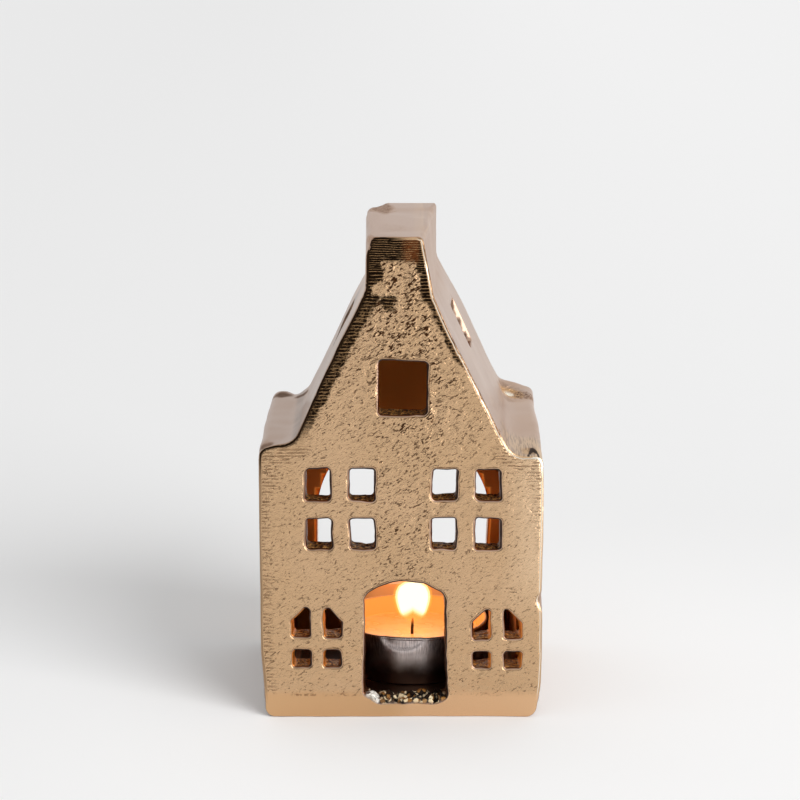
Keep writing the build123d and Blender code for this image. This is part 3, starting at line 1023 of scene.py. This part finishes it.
class TEALIGHTHOUSE_OT_wick(bpy.types.Operator):
    """Add the charred wick, and finish its tab"""

    bl_idname = "tealighthouse.wick"
    bl_label = "Wick and tab"

    def execute(self, context):
        settings = context.scene.tealight_pieces
        bm = bmesh.new()
        foot = WICK_LOW.z / MM + 0.1
        tip = WICK_HIGH.z / MM
        middle = Vector((CUP_MIDDLE.x / MM, CUP_MIDDLE.y / MM, 0))
        radius = 0.37 * MM
        ring = bmesh.ops.create_circle(bm, cap_ends=True, segments=14, radius=radius)["verts"]
        bmesh.ops.translate(bm, verts=ring, vec=Vector((middle.x, middle.y, foot)) * MM)
        face = bm.faces[:][0]
        steps = 26
        bend_from, bend_length = 11.4, 4.0
        for number in range(steps):
            made = bmesh.ops.extrude_face_region(bm, geom=[face])["geom"]
            rows = [item for item in made if isinstance(item, bmesh.types.BMVert)]
            bmesh.ops.translate(bm, verts=rows, vec=(0, 0, (tip - foot) / steps * MM))
            if number:
                bmesh.ops.delete(bm, geom=[face], context="FACES_ONLY")
            face = [item for item in made if isinstance(item, bmesh.types.BMFace)][0]
        for vert in bm.verts:
            height = vert.co.z / MM
            above = max(0.0, height - bend_from) / bend_length
            twist = math.sin(height * 4.2 + math.atan2(vert.co.y, vert.co.x) * 3) * 0.05
            arm = Vector((vert.co.x / MM - middle.x, vert.co.y / MM - middle.y))
            swell = 1.0 + twist + 0.18 * noise.noise(vert.co / MM * 1.3) - 0.25 * above ** 3
            bend = 0.15 * above - 0.2
            vert.co.x = (middle.x + arm.x * swell + bend) * MM
            vert.co.y = (middle.y + arm.y * swell) * MM
        bmesh.ops.recalc_face_normals(bm, faces=bm.faces)

        finish = Finish("charred_cotton")
        place = finish.place()
        strands = finish.noise(place, 3.0, 2)
        ember = finish.parts(place)[Z].step(tip - 1.6, tip - 0.2)
        colour = finish.mix(strands.step(0.35, 0.7), tuple(settings.wick), rgb(86, 58, 40))
        glow = finish.mix(ember * strands, (0, 0, 0, 1), rgb(255, 96, 20))
        material = finish.set({
            "Base Color": colour,
            "Roughness": 0.9,
            "Emission Color": glow,
            "Emission Strength": 1.0,
            "Normal": finish.bump(strands * 0.2),
        })
        add_piece("wick_stem", bm, material, "tealight", ["wick"], 60.0)

        tab = Finish("tinned_tab")
        sheen = tab.noise(tab.place(), 1.5, 2)
        tab_material = tab.set({
            "Base Color": tab.mix(sheen, rgb(150, 150, 154), rgb(190, 190, 194)),
            "Metallic": 1.0,
            "Roughness": 0.25 + sheen * 0.2,
        })
        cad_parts["wick_tab"].material_slots[0].material = tab_material
        return {"FINISHED"}


class FlameSettings(bpy.types.PropertyGroup):
    """Size and colours of the flame."""

    width: length_property("Width", "Widest part of the flame", 9.1)
    height: length_property("Height", "Height of the flame", 10.9)
    core: colour_property("Core", "Hottest part of the flame", 255, 246, 214)
    edge: colour_property("Edge", "Edge of the flame", 255, 176, 60)


# The foot of the flame, in millimetres, and the power and colour of the lamp in it
FLAME_FOOT = 14.3
FLAME_POWER = 0.004
FLAME_COLOUR = (1.0, 0.5, 0.17)

# Half an outline of the flame: shares of its half width and of its height
FLAME_OUTLINE = (
    (0.0, 0.0), (0.3, 0.04), (0.5, 0.1), (0.66, 0.18), (0.78, 0.28), (0.88, 0.4),
    (0.96, 0.52), (1.0, 0.64), (0.97, 0.76), (0.84, 0.88), (0.6, 0.955), (0.3, 0.99),
    (0.0, 1.0),
)

# The shells that the flame is nested from: size and warmth
FLAME_SHELLS = ((0.86, 1.0), (0.98, 0.4), (1.1, 0.12))

# The height in the flame, as a share, from which the shells grow
FLAME_HEART = 0.48


class TEALIGHTHOUSE_OT_flame(bpy.types.Operator):
    """Add the flame"""

    bl_idname = "tealighthouse.flame"
    bl_label = "Flame"

    def execute(self, context):
        settings = context.scene.tealight_flame
        bm = bmesh.new()
        warmth_layer = bm.verts.layers.float.new("warmth")
        radius = settings.width / MM / 2
        height = settings.height / MM
        heart = FLAME_FOOT + height * FLAME_HEART
        middle = Vector((CUP_MIDDLE.x, CUP_MIDDLE.y, 0))
        for scale, warmth in FLAME_SHELLS:
            before = set(bm.verts)
            points = [
                (radius * width * scale * MM,
                 (heart + (share - FLAME_HEART) * height * (scale * 0.5 + 0.5)) * MM)
                for width, share in FLAME_OUTLINE
            ]
            spin_outline(bm, points, middle, 40)
            for vert in bm.verts:
                if vert not in before:
                    vert[warmth_layer] = warmth
        close_poles(bm)

        finish = Finish("flame_glow")
        place = finish.place()
        x, _, z = finish.parts(place)
        warmth = finish.attribute("warmth")
        across = abs(x - CUP_MIDDLE.x / MM)
        notch = (z + across * 0.75 - FLAME_FOOT).step(6.0, 3.0)
        colour = finish.mix(warmth.step(0.1, 0.7), tuple(settings.edge), tuple(settings.core))
        colour = finish.mix(notch, colour, rgb(255, 160, 62))
        material = finish.set({
            "Base Color": (0, 0, 0, 1),
            "Roughness": 1.0,
            "Specular IOR Level": 0.0,
            "Emission Color": colour,
            "Emission Strength": 2.0,
            "Alpha": warmth * (1 - notch * 0.9),
        })
        piece = add_piece("flame", bm, material, "tealight")
        piece.visible_shadow = False
        piece.visible_diffuse = False

        lamp_data = bpy.data.lights.new("flame_light", "POINT")
        lamp_data.energy = FLAME_POWER
        lamp_data.color = FLAME_COLOUR
        lamp_data.shadow_soft_size = 3 * MM
        lamp = bpy.data.objects.new("flame_light", lamp_data)
        context.scene.collection.objects.link(lamp)
        lamp.location = (CUP_MIDDLE.x, CUP_MIDDLE.y, (FLAME_FOOT + height * 0.6) * MM)
        return {"FINISHED"}


class StageSettings(bpy.types.PropertyGroup):
    """Camera, floor and light."""

    floor: colour_property("Floor", "Surface that the house stands on", 236, 236, 236)
    focal_length: bpy.props.FloatProperty(
        name="Focal length", description="Focal length of the camera, in millimetres",
        default=108.0,
    )
    room_light: bpy.props.FloatProperty(
        name="Room light", description="Strength of the light from all round", default=0.62,
    )
    key_light: bpy.props.FloatProperty(
        name="Key light", description="Strength of the wide lamp at the right", default=2.4,
    )


# The camera stands where the photograph was taken from
CAMERA_PLACE = Vector((2.08, -582.73, 201.77)) * MM
CAMERA_PITCH = 12.4904
CAMERA_YAW = 0.2483

# Half the width of the floor, in metres
FLOOR_HALF = 12.0

# Strength of the backdrop that is seen directly
BACKDROP = 0.93

# The wide lamp shines from this direction and spreads over this many degrees
KEY_DIRECTION = Vector((0.6, -0.645, 0.46))
KEY_SPREAD = 40

# The card at the right gives the metal a bright mirror image: place, width, height and power
CARD_PLACE = (0.24, -0.1, 0.14)
CARD_WIDTH = 0.3
CARD_HEIGHT = 0.26
CARD_POWER = 0.6


class TEALIGHTHOUSE_OT_stage(bpy.types.Operator):
    """Add the floor, the lights and the camera"""

    bl_idname = "tealighthouse.stage"
    bl_label = "Stage"

    def execute(self, context):
        settings = context.scene.tealight_stage
        bm = bmesh.new()
        bmesh.ops.create_grid(bm, x_segments=1, y_segments=1, size=FLOOR_HALF)
        mesh = bpy.data.meshes.new("floor")
        bm.to_mesh(mesh)
        bm.free()
        floor = bpy.data.objects.new("floor", mesh)
        context.scene.collection.objects.link(floor)
        paint = Finish("floor_paint")
        place = paint.place()
        across = paint.parts(place)[X]
        # Painted light: the floor is lighter towards the right, and lightest in a patch round the
        # house's right front
        close = paint.near(place, (50.0, -50.0, 0.0)).step(230.0, 60.0)
        shade = paint.mix(across.step(-300.0, 300.0), tuple(settings.floor), rgb(244, 244, 244))
        shade = paint.mix(close, shade, rgb(252, 252, 252))
        mesh.materials.append(paint.set({
            "Base Color": shade, "Roughness": 0.9, "Specular IOR Level": 0.0,
        }))

        world = bpy.data.worlds.new("studio")
        context.scene.world = world
        studio = Nodes(world)
        background = studio.tree.nodes["Background"]
        direction = studio.node("ShaderNodeTexCoord", output="Generated")
        x, y, z = studio.parts(direction)
        dark_left = x.step(-0.1, -0.5) * y.step(0.35, -0.1) * z.step(0.0, 0.2)
        dark_front = y.step(-0.2, -0.7) * z.step(0.05, 0.35)
        bright_right = x.step(0.4, 0.8)
        mirrored = 0.92 - dark_left * 0.75 - dark_front * (1 - dark_left) * 0.3
        mirrored = mirrored + bright_right * 0.4
        glossy, direct, through = [
            studio.node("ShaderNodeLightPath", output=f"Is {kind} Ray")
            for kind in ("Glossy", "Camera", "Transmission")
        ]
        strength = settings.room_light + glossy * (mirrored - settings.room_light)
        strength = strength + direct.larger(through) * (BACKDROP - settings.room_light)
        studio.feed(background.inputs["Color"], (1, 1, 1, 1))
        studio.feed(background.inputs["Strength"], strength)

        sun_data = bpy.data.lights.new("key_lamp", "SUN")
        sun_data.energy = settings.key_light
        sun_data.angle = math.radians(KEY_SPREAD)
        sun = bpy.data.objects.new("key_lamp", sun_data)
        context.scene.collection.objects.link(sun)
        sun.visible_glossy = False
        sun.rotation_euler = (-KEY_DIRECTION).to_track_quat("-Z", "Y").to_euler()

        card_data = bpy.data.lights.new("side_card", "AREA")
        card_data.shape = "RECTANGLE"
        card_data.size = CARD_WIDTH
        card_data.size_y = CARD_HEIGHT
        card_data.energy = CARD_POWER
        # What the walls throw on from it is left out, so that it makes no stripe on the floor
        glare = Nodes(card_data)
        bounces = glare.node("ShaderNodeLightPath", output="Diffuse Depth")
        glare.feed(
            glare.tree.nodes["Emission"].inputs["Strength"],
            glare.math("LESS_THAN", bounces, 0.5),
        )
        card = bpy.data.objects.new("side_card", card_data)
        context.scene.collection.objects.link(card)
        card.visible_diffuse = False
        card.location = CARD_PLACE
        card.rotation_euler = (math.radians(90), 0, math.radians(90))

        camera_data = bpy.data.cameras.new("camera")
        camera_data.sensor_width = 36.0
        camera_data.lens = settings.focal_length
        camera = bpy.data.objects.new("camera", camera_data)
        context.scene.collection.objects.link(camera)
        camera.location = CAMERA_PLACE
        camera.rotation_euler = (
            math.radians(90 - CAMERA_PITCH), 0, math.radians(CAMERA_YAW)
        )
        context.scene.camera = camera
        context.scene.view_settings.view_transform = "Standard"
        return {"FINISHED"}


class TEALIGHTHOUSE_PT_panel(bpy.types.Panel):
    """Lists the sizes, colours and pieces of the tealight house"""

    bl_idname = "TEALIGHTHOUSE_PT_panel"
    bl_label = "Tealight House"
    bl_space_type = "VIEW_3D"
    bl_region_type = "UI"
    bl_category = "Tealight House"

    def draw(self, context):
        for name, group in SETTINGS.items():
            box = self.layout.box()
            for setting in group.__annotations__:
                box.prop(getattr(context.scene, name), setting)
        for operator in OPERATORS:
            self.layout.operator(operator.bl_idname)


OPERATORS = (
    TEALIGHTHOUSE_OT_casting,
    TEALIGHTHOUSE_OT_cup,
    TEALIGHTHOUSE_OT_wax,
    TEALIGHTHOUSE_OT_wick,
    TEALIGHTHOUSE_OT_flame,
    TEALIGHTHOUSE_OT_stage,
)
SETTINGS = {
    "tealight_casting": CastingSettings,
    "tealight_pieces": TealightSettings,
    "tealight_flame": FlameSettings,
    "tealight_stage": StageSettings,
}


def register():
    for group in (*SETTINGS.values(), *OPERATORS, TEALIGHTHOUSE_PT_panel):
        bpy.utils.register_class(group)
    for name, group in SETTINGS.items():
        setattr(bpy.types.Scene, name, bpy.props.PointerProperty(type=group))


def unregister():
    for name in SETTINGS:
        delattr(bpy.types.Scene, name)
    for group in (*SETTINGS.values(), *OPERATORS, TEALIGHTHOUSE_PT_panel):
        bpy.utils.unregister_class(group)


def main():
    register()
    bpy.ops.tealighthouse.casting()
    bpy.ops.tealighthouse.cup()
    bpy.ops.tealighthouse.wax()
    bpy.ops.tealighthouse.wick()
    bpy.ops.tealighthouse.flame()
    bpy.ops.tealighthouse.stage()


if __name__ == "__main__":
    main()
